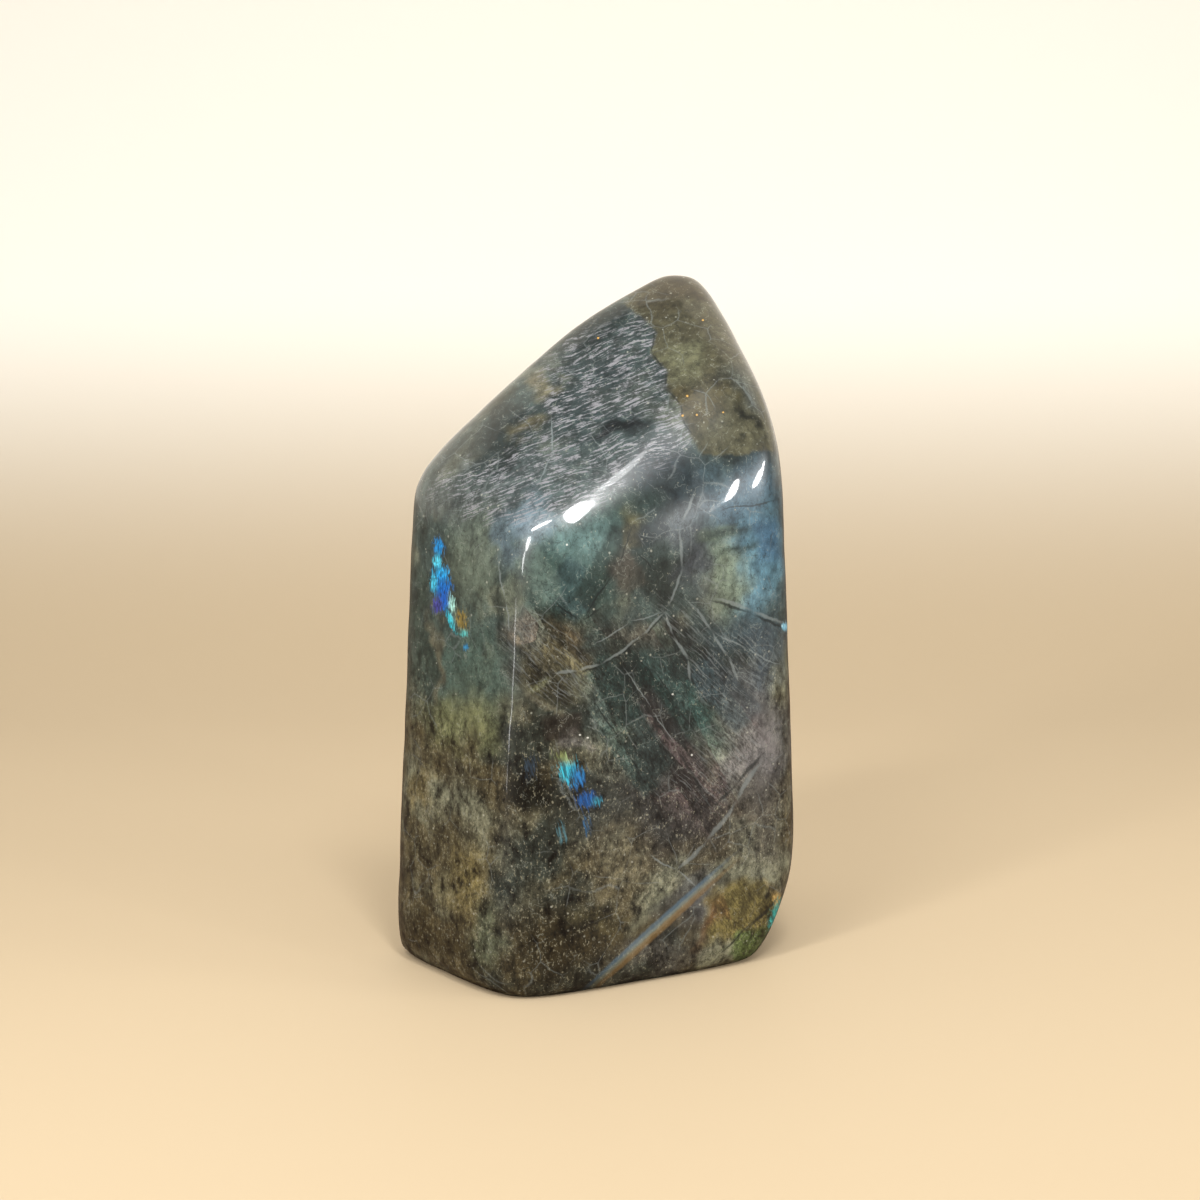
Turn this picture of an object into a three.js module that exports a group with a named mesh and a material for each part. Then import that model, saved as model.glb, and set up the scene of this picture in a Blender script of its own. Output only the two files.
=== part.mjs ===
// A polished labradorite freeform, one natural stone. It was ground to a few flats, which were
// tumbled until the edges between them were soft, and it stands on its sawn base.
// Millimetres, +Z up, the origin in the middle of the base, the broad front facing -Y.
import * as THREE from 'three';
import { mergeVertices } from 'three/addons/utils/BufferGeometryUtils.js';

// Every flat is placed from the heart of the stone. The peak is its highest point, and its upright
// sides end at about the height of the shoulder.
const HEART = new THREE.Vector3(0, 0, 62);
const SHOULDER = new THREE.Vector3(0, 0, 85);
const PEAK = new THREE.Vector3(24.5, 18.5, 140);
const HALF_WIDTH = 40;
const HALF_DEPTH = 24;

// A flat faces so many degrees round from the front, with the right side at 90, and rises so many
// degrees above the level. Its reach is how far from the heart it was ground.
const FRONT = { facing: 0, rise: -1, reach: 23.9 };
const LEFT_SIDE = { facing: -73.3, rise: 2.7, reach: 33.1 };
const RIGHT_SIDE = { facing: 82.9, rise: 3.7, reach: 36.1 };
const BACK = { facing: 182.5, rise: 0.7, reach: 22.5 };
const SLANTED_TOP = { facing: -39.1, rise: 51.3, reach: 44.5 };
const FRONT_BEVEL = { facing: -9.4, rise: 29.6, reach: 38.1 };
const RIGHT_SHOULDER = { facing: 58.2, rise: 33.3, reach: 57.9 };
const LEFT_SLOPE = { facing: -85.5, rise: 50.1, reach: 52.4 };
const UNDERCUT_HEEL = { facing: 75.6, rise: -23.6, reach: 54.3 };

// How soft the tumbling left the edges: a flat's edge is worn down by about 0.7 of this.
const WEAR_BETWEEN_SIDES = 4.8;
const WEAR_AT_BEVEL = 2.5;
const WEAR_AT_TOP = 2.8;
const WEAR_AT_HEEL = 2;
const WEAR_AT_BASE = 1.8;

// The worn stone reaches this far below its base, where the saw took it off.
const SAWN_OFF = 0.4;

// The mesh is made of rings, crowded towards the rim of the base.
const FACETS_AROUND = 84;
const RINGS = 44;
const CROWDING = 1.8;
const RIM = 1 - 2 / RINGS;

const FARTHEST_REACH = 110;
const HALVINGS = 24;

const STONE_COLOUR = 0x3f4747;
const STONE_ROUGHNESS = 0.12;

function outward({ facing, rise }) {
  const turn = THREE.MathUtils.degToRad(facing);
  const lift = THREE.MathUtils.degToRad(rise);
  const level = Math.cos(lift);
  return new THREE.Vector3(Math.sin(turn) * level, -Math.cos(turn) * level, Math.sin(lift));
}

// Returns how far a point lies outside a flat, or a negative depth inside it.
function groundFlat(flat) {
  const normal = outward(flat);
  const offset = flat.reach + normal.dot(HEART);
  return (point) => normal.dot(point) - offset;
}

// Joins several such surfaces into one, with their common edges worn soft.
function worn(wear, ...surfaces) {
  return (point) => {
    const sum = surfaces.reduce((total, surface) => total + Math.exp(surface(point) / wear), 0);
    return wear * Math.log(sum);
  };
}

function stoneSurface() {
  const sides = worn(WEAR_BETWEEN_SIDES, ...[FRONT, LEFT_SIDE, RIGHT_SIDE, BACK].map(groundFlat));
  const face = worn(WEAR_AT_BEVEL, groundFlat(SLANTED_TOP), groundFlat(FRONT_BEVEL));
  const top = worn(WEAR_AT_TOP, face, groundFlat(RIGHT_SHOULDER), groundFlat(LEFT_SLOPE));
  const upright = worn(WEAR_AT_TOP, sides, top);
  const heeled = worn(WEAR_AT_HEEL, upright, groundFlat(UNDERCUT_HEEL));
  return worn(WEAR_AT_BASE, heeled, (point) => -SAWN_OFF - point.z);
}

// The stone is convex, so a way out of it crosses the surface once.
function surfacePoint(surface, start, direction) {
  const point = new THREE.Vector3();
  let inside = 0;
  let outside = FARTHEST_REACH;
  for (let step = 0; step < HALVINGS; step += 1) {
    const reach = (inside + outside) / 2;
    point.copy(direction).multiplyScalar(reach).add(start);
    if (surface(point) > 0) outside = reach;
    else inside = reach;
  }
  return point;
}

// A ball of rings around the Z axis, closed, with one vertex at each pole.
function ringedBall() {
  const ball = new THREE.SphereGeometry(1, FACETS_AROUND, RINGS).rotateX(Math.PI / 2);
  ball.deleteAttribute('normal');
  ball.deleteAttribute('uv');
  return mergeVertices(ball);
}

// Above the shoulder the rings close in on the peak. Below it they lie level, down to the rim of
// the base, and the lower pole is the middle of the base.
function placeOnStone(unit, surface) {
  const level = new THREE.Vector3(unit.x * HALF_WIDTH, unit.y * HALF_DEPTH, 0);
  if (unit.z > 0) {
    const towardsPeak = PEAK.clone().sub(SHOULDER).multiplyScalar(unit.z);
    return surfacePoint(surface, SHOULDER, level.add(towardsPeak).normalize());
  }
  const descent = Math.asin(-unit.z) / (Math.PI / 2);
  const remaining = Math.max(1 - descent / RIM, 0);
  const start = new THREE.Vector3(0, 0, SHOULDER.z * remaining ** CROWDING);
  const isPole = descent > (1 + RIM) / 2;
  return isPole ? start : surfacePoint(surface, start, level.normalize());
}

function stoneGeometry() {
  const geometry = ringedBall();
  const surface = stoneSurface();
  const position = geometry.getAttribute('position');
  const unit = new THREE.Vector3();
  for (let index = 0; index < position.count; index += 1) {
    unit.fromBufferAttribute(position, index).normalize();
    const { x, y, z } = placeOnStone(unit, surface);
    position.setXYZ(index, x, y, z);
  }
  geometry.computeVertexNormals();
  return geometry;
}

function polishedStone() {
  const material = new THREE.MeshStandardMaterial({
    color: STONE_COLOUR,
    roughness: STONE_ROUGHNESS,
    metalness: 0,
  });
  const mesh = new THREE.Mesh(stoneGeometry(), material);
  mesh.name = 'labradorite_stone';
  return mesh;
}

const freeform = new THREE.Group();
freeform.add(polishedStone());

export default freeform;
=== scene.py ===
"""A polished labradorite freeform that stands on its sawn base, on a plain pale floor in soft light."""

import math

import bpy
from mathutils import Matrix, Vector, noise


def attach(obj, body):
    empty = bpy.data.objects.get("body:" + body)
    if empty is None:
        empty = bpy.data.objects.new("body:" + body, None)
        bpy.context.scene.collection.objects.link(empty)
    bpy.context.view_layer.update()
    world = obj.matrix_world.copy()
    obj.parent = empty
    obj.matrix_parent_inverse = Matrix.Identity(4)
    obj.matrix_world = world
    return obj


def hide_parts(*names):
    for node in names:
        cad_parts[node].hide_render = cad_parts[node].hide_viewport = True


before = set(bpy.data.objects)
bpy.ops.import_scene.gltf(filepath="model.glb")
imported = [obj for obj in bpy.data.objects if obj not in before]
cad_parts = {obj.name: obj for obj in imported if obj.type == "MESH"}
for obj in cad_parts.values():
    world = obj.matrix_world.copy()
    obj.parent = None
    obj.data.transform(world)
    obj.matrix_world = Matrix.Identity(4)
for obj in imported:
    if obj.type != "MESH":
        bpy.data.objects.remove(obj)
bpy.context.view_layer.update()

MM = 0.001
SEED = 7

# The stone's flats, in millimetres and degrees. A flat faces so many degrees round from the front,
# rises so many degrees above the level, and was ground so far from the heart of the stone.
HEART = Vector((0, 0, 62)) * MM
SIDE_FLATS = {
    "front": (0, -1, 23.9),
    "left side": (-73.3, 2.7, 33.8),
    "right side": (82.9, 3.7, 36.6),
    "back": (182.5, 0.7, 22.5),
}
END_FLATS = {
    "slanted top": (-39.1, 51.3, 44.5),
    "front bevel": (-9.4, 29.6, 38.1),
    "right shoulder": (58.2, 33.3, 57.9),
    "left slope": (-85.5, 50.1, 53.1),
    "undercut heel": (75.6, -23.6, 54.3),
    "worn tip": (60, 84, 81.9),
}
BLANK_SIZE = Vector((110, 90, 230)) * MM
BLANK_CENTRE = Vector((0, 0, 75)) * MM

# How the stone was tumbled. A finer grain gives a finer surface, and more passes a softer edge.
COARSE_GRAIN = 1.0 * MM
FINE_GRAIN = 0.75 * MM
SIDE_PASSES = 130
END_PASSES = 400
SAW_ALLOWANCE = 2.4 * MM
POLISH_WAVE = 0.35 * MM
POLISH_WAVELENGTH = 14 * MM
SHARP_ANGLE = 35

# The pale sheet that the stone stands on, in metres.
SWEEP_WIDTH = 6
SWEEP_FRONT = 3
SWEEP_BACK = 0.75
SWEEP_HEIGHT = 2.5
SWEEP_BEND = 0.55
FLOOR_FADE = 0.12
FLOOR_TONE = "beab8e"
MIRRORED_FLOOR_TONE = "4c3a2a"
WALL_TONE = "fefaf2"

# The light all round, as it is seen, as it falls on the stone and as the polish mirrors it.
WORLD_TONE = "faf6ee"
WORLD_SEEN = 0.92
WORLD_LIGHT = 0.95
ROOM_LIGHT = 0.10
ROOM_BACK_LIGHT = 0.8

# The soft boxes: the place on the stone that each shines at, in millimetres, how far round from the
# front and how far up it stands, in degrees, its distance and its two widths, in metres, its
# brightness as the camera would see it, and its roll in degrees.
LIGHTS = {
    "overhead box": ((5, -13, 112), 0, 72, 0.9, (0.56, 0.56), 1.3, 0),
    "front glow": ((-15, -20, 92), -32, 38, 0.8, (0.6, 0.42), 0.22, 0),
    "key": ((-15.3, -20, 96.8), -9, 59, 0.4, (0.05, 0.15), 42, 20),
    "key halo": ((-12, -19.5, 98.5), -10, 66, 0.4, (0.09, 0.15), 1.6, 20),
    "key tail": ((-5, -18.5, 103.5), -6, 72, 0.4, (0.03, 0.06), 10, 0),
    "key fade": ((1, -17, 108), -8, 80, 0.4, (0.08, 0.10), 0.8, 0),
    "left strip": ((-25.3, -18.3, 89.6), -67, 30, 0.4, (0.05, 0.15), 26, -8),
    "left strip end": ((-25.3, -18.3, 86), -72, 11, 0.4, (0.022, 0.13), 18, -8),
    "left spark": ((-22.3, -18.1, 94.5), -57, 55, 0.4, (0.15, 0.03), 45, 43),
    "low strip": ((-27.5, -18.1, 64.8), -82, -9.5, 0.2, (0.005, 0.06), 10, 0),
    "front window": ((14.7, -23.3, 99.3), 27, 10, 0.5, (0.034, 0.085), 50, -12),
    "right window": ((23.0, -22.4, 102.1), 48, 10, 0.5, (0.18, 0.05), 36, 23),
}
GLOW_COLOR = (0.8, 0.92, 1.0)

# The camera stands to the left of the front and looks down at the stone.
CAMERA_AZIMUTH = -25.1
CAMERA_RISE = 11.0
CAMERA_AIM = Vector((0, 2.7, 74.5)) * MM
CAMERA_DISTANCE = 421.7 * MM
CAMERA_LENS = 61.6
SENSOR_WIDTH = 36

# What the camera sees is painted in full where the stone faces it by more than this cosine, and fades
# out as the stone turns away.
GRAZING = 0.16

# How the edges of the clouds wander, in millimetres: a distance along the stone and how far they stray
# over it. On the sides that the camera doesn't see, the clouds stray this much more and the flashes this
# much less. The seam and the plates stray least.
WANDERS = ((10.0, 3.6), (4.5, 2.2), (2.0, 1.3))
FAR_WANDER = 1.4
FLASH_WANDER = 0.5
EDGE_WANDER = 0.22

# The ground of the stone, in millimetres up from its base: brown below, slate above, and pools in both.
GROUND_BROWN = "4f4936"
GROUND_SLATE = "475451"
BROWN_TOP = 30
SLATE_FOOT = 80
GROUND_DRIFT = 40
GROUND_DRIFT_SIZE = 30
POOL_DARK = "2c332f"
POOL_PALE = "747767"
POOL_SIZE = 15
POOL_START = Vector((7, 3, 5))

# The polish deepens the colours of the stone by this power.
POLISH_DEPTH = 1.12

# The clouds of colour in the stone, as the camera sees them, in millimetres across and up from the
# middle of the picture: where each lies, its reach both ways, its turn, the share of it that fades,
# its colour and its strength. A few of them paint the polish's reflection and sheen, as marked below.
CLOUDS = {
    "upper streaked": ((1.0, 43.5), (27.6, 23), 35, 0.85, "333f41", 0.9),
    "lower streaked": ((-15.4, 24.6), (25.3, 10.3), 10, 0.85, "4a5454", 0.9),
    "left crackle": ((-20.5, 32.9), (17.2, 9.2), 35, 0.85, "222c2c", 0.9),
    # Painted reflection: a paler band along the left slope's edge, where the polish mirrors the bright
    # room.
    "painted rim reflection on the left slope": ((-28, 38), (18.4, 3.4), 38, 1.0, "4e5144", 0.9),
    "olive spot": ((-14.4, 34.9), (6.3, 3), 0, 1.0, "5f5b46", 0.9),
    "tan notch": ((-12.3, 44.8), (3.9, 3.7), 0, 0.95, "7d7760", 0.8),
    "dark window": ((4.1, 34.5), (7.6, 3.4), 18, 0.6, "101a1d", 0.98),
    "dark band": ((2, 57.5), (20.1, 5.0), 33, 0.85, "212d2d", 0.9),
    "bevel slate": ((13.3, 24.6), (18.4, 11.5), 25, 0.85, "232f36", 0.9),
    "bevel green": ((4.5, 17.5), (11.5, 6.9), 30, 0.85, "37453f", 0.9),
    "bevel vein": ((18.5, 18.5), (4.4, 10.3), -20, 0.95, "5c6266", 0.8),
    "centre slate": ((11.3, -16.4), (26.4, 21.8), -30, 0.85, "1c2827", 0.95),
    "teal cloud": ((-5.1, 5.1), (16.1, 19.5), -15, 0.75, "3d514c", 0.9),
    # Partly the stone's blue-green, partly painted sheen: the soft glow of the polish below the key
    # highlight.
    "glow": ((-3.5, 11.0), (11, 9.2), 0, 1.0, "66807f", 0.8),
    "dark smoke": ((9.0, 10.0), (5.8, 13.8), -20, 1.0, "2b3634", 0.8),
    "pale smoke": ((18.9, 8.2), (5.2, 12.6), 10, 0.95, "4d5258", 0.8),
    "blue sheen": ((29.8, 18.9), (14.4, 12.6), 0, 0.85, "46606f", 0.95),
    "cyan sheen": ((32.6, 6.2), (9.8, 16.1), 0, 0.85, "5a7f90", 0.95),
    "pale olive": ((25.1, 4.6), (7.5, 11.5), 8, 0.85, "748274", 0.9),
    "dark under blue": ((29.0, -7.0), (12.6, 7.5), -12, 0.95, "3c4d54", 0.85),
    "right slate": ((33.5, -13.0), (6.5, 13), 0, 0.85, "46525a", 0.9),
    "brown wedge": ((-9.2, -8.2), (7.5, 8), -35, 0.75, "504c3d", 0.9),
    "right brown wedge": ((6.2, 6.2), (4.6, 8), -10, 0.85, "484741", 0.8),
    "olive gold": ((6.6, 14.4), (4.6, 4.6), 0, 0.95, "5b583f", 0.8),
    "left brown": ((-11.3, -14.4), (10.3, 10.3), -35, 0.85, "5d5945", 0.9),
    "left pale shards": ((-14.5, -8.0), (5.8, 9.2), -40, 0.95, "6f7268", 0.8),
    "teal plate": ((15.0, -20.5), (19.5, 6.3), -52, 0.7, "2b423f", 0.9),
    "purple plate": ((13.3, -34.0), (20.7, 5.8), -54, 0.75, "3b3638", 0.9),
    "lavender smoke": ((32.2, -30.4), (10.3, 19.5), 5, 0.95, "706e6f", 0.9),
    "lavender streak": ((24.0, -38.0), (3.9, 13.8), -35, 0.95, "5c5a5a", 0.8),
    "mottled": ((14.4, -44.0), (27.6, 17.2), 0, 0.95, "373635", 0.88),
    "black pool": ((-14.5, -38.4), (9, 7.4), 0, 0.7, "12140f", 0.98),
    "black pool low": ((-6.5, -41.5), (9.2, 5.8), -15, 1.0, "1f211c", 0.8),
    "crystals": ((-3.7, -28.1), (3.4, 2.0), -20, 1.0, "7f7c7b", 0.6),
    "frosted": ((3.7, -55.4), (11.5, 10.3), 0, 1.0, "5f5a48", 0.9),
    "bottom brown": ((-9.2, -70.8), (20.7, 12.6), 0, 0.85, "2f291a", 0.9),
    "bottom olive": ((0.0, -64.0), (9.2, 5.8), 0, 1.0, "48432e", 0.8),
    "grey bottom": ((12.3, -72.9), (16.1, 5.8), 8, 0.95, "504f4a", 0.9),
    "heel slate": ((20.0, -62.0), (6.9, 9.2), -45, 0.95, "55575a", 0.8),
    "right low brown": ((34.5, -47.0), (7.5, 13), 0, 0.9, "4a473f", 0.9),
    "olive patch": ((28.2, -65.0), (8.6, 8.6), -20, 0.35, "786f44", 0.95),
    "olive border": ((22.4, -65.6), (2.5, 9.2), -20, 0.95, "624932", 0.9),
    "heel green": ((31.8, -70.8), (7.5, 3.6), 38, 0.4, "55683f", 0.85),
    "left top": ((-30.8, 20.5), (12.6, 8), 0, 0.85, "4d5553", 0.9),
    "left cloud": ((-24.5, 8.2), (9.2, 17.2), 0, 0.85, "5f695e", 0.9),
    # Partly the stone's blue, partly painted sheen: the bluish glow of the polish by the key highlight.
    "corner blue and painted sheen": ((-13.5, 17.0), (8, 6), 10, 1.0, "748894", 0.8),
    "left blue edge": ((-19.0, 12.0), (4, 10.3), 5, 1.0, "5a6a74", 0.8),
    "left teal": ((-26.7, -14.3), (13.8, 14.9), 0, 0.85, "4a5c55", 0.9),
    "left dark edge": ((-37.5, -5), (4, 32.2), 2, 1.0, "445049", 0.9),
    "tan streak": ((-33.5, -13.3), (2, 16.1), 0, 1.0, "625f50", 0.9),
    "yellow green": ((-28.7, -25.7), (11.5, 9.2), 0, 0.95, "6c7052", 0.9),
    "left gold": ((-36.1, -39.0), (3.9, 6.9), 0, 0.75, "686044", 0.9),
    "left brown grey": ((-32.9, -51.3), (14.9, 16.1), 0, 0.95, "4c4735", 0.9),
    "left gold low": ((-26.7, -57.5), (6.9, 11.5), 0, 0.95, "736a48", 0.9),
    "left foot": ((-34.9, -67.8), (13.8, 9.2), -25, 0.95, "3e3724", 0.9),
    "foot green": ((-22.6, -68.8), (5.8, 9.2), 0, 0.95, "4e5445", 0.9),
    "edge strip": ((-17.9, -4.1), (1.6, 17.2), 3, 0.95, "343c38", 0.9),
}

# The seam that parts the streaked slate of the top from the olive stone at its right, and the clouds
# that lie beyond it.
SEAM = (
    (12.0, 72.0), (5.0, 65.5), (4.0, 62.0), (8.0, 58.5), (11.3, 55.4), (10.7, 50.5),
    (13.3, 47.2), (13.5, 43.5), (16.4, 40.5), (16.6, 37.5), (19.0, 34.0), (21.5, 30.0))
SEAM_EDGE = 0.5
BEYOND = {
    "upper right": ((24.0, 50.0), (24, 32), 0, 0.15, "4a4837", 1.0),
    "yellow light": ((17.0, 50.1), (8.0, 6.5), 0, 0.8, "64654f", 0.9),
    "peak": ((16.4, 65.1), (14.9, 8), 0, 0.8, "443d2c", 0.9),
    "gold middle": ((20.6, 41.0), (8.2, 5.5), 0, 0.8, "4c452c", 0.9),
    "pale shoulder": ((28.5, 33.5), (9.5, 5.2), -15, 0.4, "545342", 0.9),
    "grey shoulder": ((29.8, 44.1), (4.6, 9.2), 15, 0.95, "50544f", 0.9),
    "dark hook": ((29.5, 37.2), (4.2, 1.3), -22, 0.6, "191b18", 0.8),
    "dark hook end": ((32.5, 34.6), (1.2, 3.0), 20, 0.7, "191b18", 0.8),
}

# Cleavage plates with straight edges, given in the same way.
PLATES = {
    "teal high": ((3.1, -18.5), (9, 4), -55, 0.25, "293d3a", 0.65),
    "teal low": ((8.2, -31.0), (9.5, 5.5), -55, 0.2, "2d413f", 0.65),
    "purple between": ((14.8, -27.7), (12, 2.6), -55, 0.3, "3f3a3c", 0.6),
    "brown left": ((-7.8, -26.1), (4.6, 3.0), 10, 0.3, "312a25", 0.7),
    "slate right": ((25.7, -19.0), (9, 4.5), -50, 0.3, "35454c", 0.6),
    "grey low": ((19.5, -40.0), (9, 4.5), -50, 0.3, "454140", 0.6),
    "teal wedge": ((-5.7, 2.0), (5.5, 5.5), 50, 0.2, "3a5055", 0.5),
    "dark wedge": ((0.8, 7.0), (3.0, 10.0), -28, 0.3, "29352f", 0.65),
    "pale wedge": ((-12.5, 4.5), (3.2, 6.5), 28, 0.3, "62736c", 0.55),
    "pink shard": ((6.0, 5.0), (3.2, 4.2), 30, 0.3, "4a443b", 0.5),
    "gold shard": ((6.6, 12.7), (2.4, 3.0), 20, 0.3, "524e38", 0.55),
    "dark shard": ((11.5, 14.0), (4.4, 2.4), 40, 0.3, "1f2a2e", 0.65),
    "green under blue": ((24.0, 13.5), (5.5, 1.4), 8, 0.4, "5f6c58", 0.5),
    "dark stair": ((-10.5, -18.0), (5.5, 1.6), -35, 0.3, "2b2a22", 0.6),
    "pale stair": ((-7.0, -12.0), (6.0, 1.7), -35, 0.3, "6a644c", 0.55),
    "shard dark": ((-12.6, -13.6), (6.6, 1.1), -42, 0.5, "2b2c25", 0.7),
    "shard pale": ((-14.2, -11.0), (7.0, 0.8), -42, 0.5, "8a8773", 0.6),
    "shard tan": ((-7.4, -6.4), (5.6, 1.5), -40, 0.4, "5f5541", 0.6),
    "shard brown": ((-4.6, -11.4), (4.2, 1.3), -40, 0.4, "3a3428", 0.6),
    "shard low": ((-11.8, -21.4), (5.4, 1.0), -28, 0.5, "7b7866", 0.55),
    "shard green": ((-12.0, -17.3), (2.8, 0.6), 38, 0.5, "8b8d6c", 0.6),
    "blue bar upper": ((27.3, 14.0), (10, 1.0), 9, 0.9, "2c3a38", 0.75),
    "blue bar lower": ((28.5, 10.4), (8.5, 0.9), 13, 0.9, "303e38", 0.75),
    "deep blue": ((34.5, 12.0), (3.5, 6.0), 5, 0.7, "3c5e7c", 0.6),
    "slate heel": ((18.0, -60.5), (9, 3), 40, 0.4, "474b4e", 0.5),
}

# Clouds on the sides that the camera doesn't see: the middle of each ball of colour in the stone, its
# reach, its colour and its strength.
FAR_CLOUDS = {
    "back blue": ((14, 24, 92), 17, "4f6f86", 0.9),
    "back olive": ((-16, 24, 66), 15, "66684c", 0.8),
    "back dark": ((8, 24, 52), 17, "2c3431", 0.9),
    "back gold": ((-20, 22, 26), 13, "71623c", 0.8),
    "back frost": ((18, 22, 20), 14, "6c6656", 0.8),
    "back slate": ((-6, 22, 106), 16, "46555a", 0.9),
    "right blue": ((38, 4, 84), 13, "567c90", 0.85),
    "right brown": ((40, 6, 48), 15, "5b5140", 0.8),
    "right olive": ((36, 8, 16), 12, "6f6741", 0.8),
    "right dark": ((38, -8, 64), 9, "2f3835", 0.8),
}
FAR_CLOUD_EDGE = 0.6

# Where the stone is streaked, feathered, split in plates and clear, as the camera sees it, given as
# the clouds are, but with no colour.
STREAKED = {
    "upper": ((4.0, 41.5), (24, 17), 35, 0.35),
    "lower": ((-14.4, 24.6), (24, 9), 8, 0.35),
    "right": ((11.3, 35.3), (11, 10), 20, 0.4),
}
FEATHERED = {
    "left": ((-11.5, -13.0), (12, 11), -45, 0.6),
    "middle": ((17.0, -4.0), (9, 8), 0, 0.6),
    "right": ((27.0, -14.0), (12, 13), -40, 0.6),
    "low right": ((24.0, -34.0), (10, 15), -30, 0.7),
}
PLATED = {
    "middle": ((12.0, -24.0), (30, 20), -60, 0.4),
    "left": ((-9.0, -9.0), (11, 14), -40, 0.5),
    "heel": ((30.0, -66.0), (9, 9), 0, 0.5),
}
UNSTREAKED = {
    "dark window": ((4.3, 34.4), (9.0, 4.2), 18, 0.4),
}
CLEAR = {
    "lavender": ((31.0, -30.0), (10, 18), 5, 0.6),
    "plates": ((13.0, -27.0), (20, 12), -54, 0.6),
    "heel": ((24.0, -63.0), (16, 10), 20, 0.6),
    "rainbow": ((12.0, -66.0), (16, 5), 42, 0.6),
}
WINDOW_CLEARNESS = 0.85
ZONE_CLEARNESS = 0.75
FAR_PLATES = 0.45

# The stone is granular up to one height in millimetres and clear from another, give or take a drift.
GRAIN_FULL = 42
GRAIN_NONE = 78
GRAIN_DRIFT = 22
GRAIN_DRIFT_SIZE = 14

# Healed cracks and lit cleavage, which are pale, and dark cleavage lines: the corners that each line
# passes and its width.
CRACKS = {
    "main": (((-9.4, -15.0), (-4.5, -14.6), (0.2, -13.2), (8.4, -7.5), (13.4, -2.8)), 0.7),
    "down from the middle": (((13.4, -2.8), (15.0, -7.6), (18.1, -12.5), (18.7, -17.0)), 0.7),
    "right diagonal": (((19.7, -1.2), (22.8, -6.2), (26.5, -11.7), (28.8, -16.5)), 0.8),
    "right branch": (((23.5, -6.5), (30.5, -10.0), (37.5, -13.5)), 0.5),
    "left vertical": (((-21.1, 8.4), (-19.6, 0.0), (-18.9, -6.8)), 0.45),
    "left fan": (((13.4, -2.8), (6.0, -4.5), (-1.5, -9.5)), 0.45),
    "long cleavage light": (((4.9, -13.5), (10.5, -22.2), (15.4, -29.6)), 0.35),
    "curved vein": (((16.0, -55.6), (21.6, -49.5), (28.3, -41.5), (33.0, -33.0)), 1.2),
    "heel vein": (((10.0, -52.0), (16.0, -55.6), (20.0, -59.0)), 0.6),
    "light under the blue": (((23.5, 0.6), (31.5, -2.4), (38.0, -5.0)), 0.9),
    "upper smoke": (((19.5, 22.5), (16.6, 15.5), (17.2, 6.5), (14.0, -1.5)), 0.8),
    "top vein": (((-10.0, 38.0), (-9.5, 30.0), (-12.5, 23.5)), 0.5),
}
DARK_LINES = {
    "long cleavage": (((4.2, -13.5), (9.8, -22.2), (14.7, -29.6), (22.8, -42.7)), 0.8),
    "second cleavage": (((10.5, -13.5), (15.4, -20.9), (21.0, -29.0)), 0.5),
    "third cleavage": (((-2.0, -20.0), (4.5, -29.0), (10.0, -40.0)), 0.5),
    "cleavage end": (((22.8, -42.7), (28.3, -38.4), (33.3, -31.4)), 0.9),
    "under the main crack": (((-4.5, -15.1), (0.2, -13.7), (8.4, -8.1), (13.4, -3.4)), 0.5),
    "wedge low left": (((-10.0, 0.5), (-4.0, -4.6), (0.5, -1.5)), 0.6),
    "wedge right": (((-4.0, -4.6), (3.5, 6.0), (6.5, 16.0)), 0.5),
    "gold shard edge": (((7.0, 10.0), (12.0, 5.5)), 0.5),
    "blue line top": (((24.0, 18.2), (37.0, 20.6)), 0.5),
    "under the blue": (((22.0, 0.6), (31.5, -3.1), (38.0, -5.9)), 0.7),
    "heel line": (((29.5, -68.5), (36.5, -61.0)), 0.8),
    "olive line": (((31.8, -65.7), (24.6, -72.9)), 0.5),
    "seam on the top": (((11.3, 55.4), (10.7, 50.5), (13.3, 47.2), (13.5, 43.5), (16.4, 40.5)), 0.6),
    "seam below": (((16.4, 40.5), (16.6, 37.5), (19.0, 34.0)), 0.5),
}

# Each short line runs on past its two ends, so that the next one joins it. It is darkest or palest
# over this share of its width, and fades to its rim.
LINE_OVERLAP = 1.12
LINE_HEART = 0.04

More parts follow.
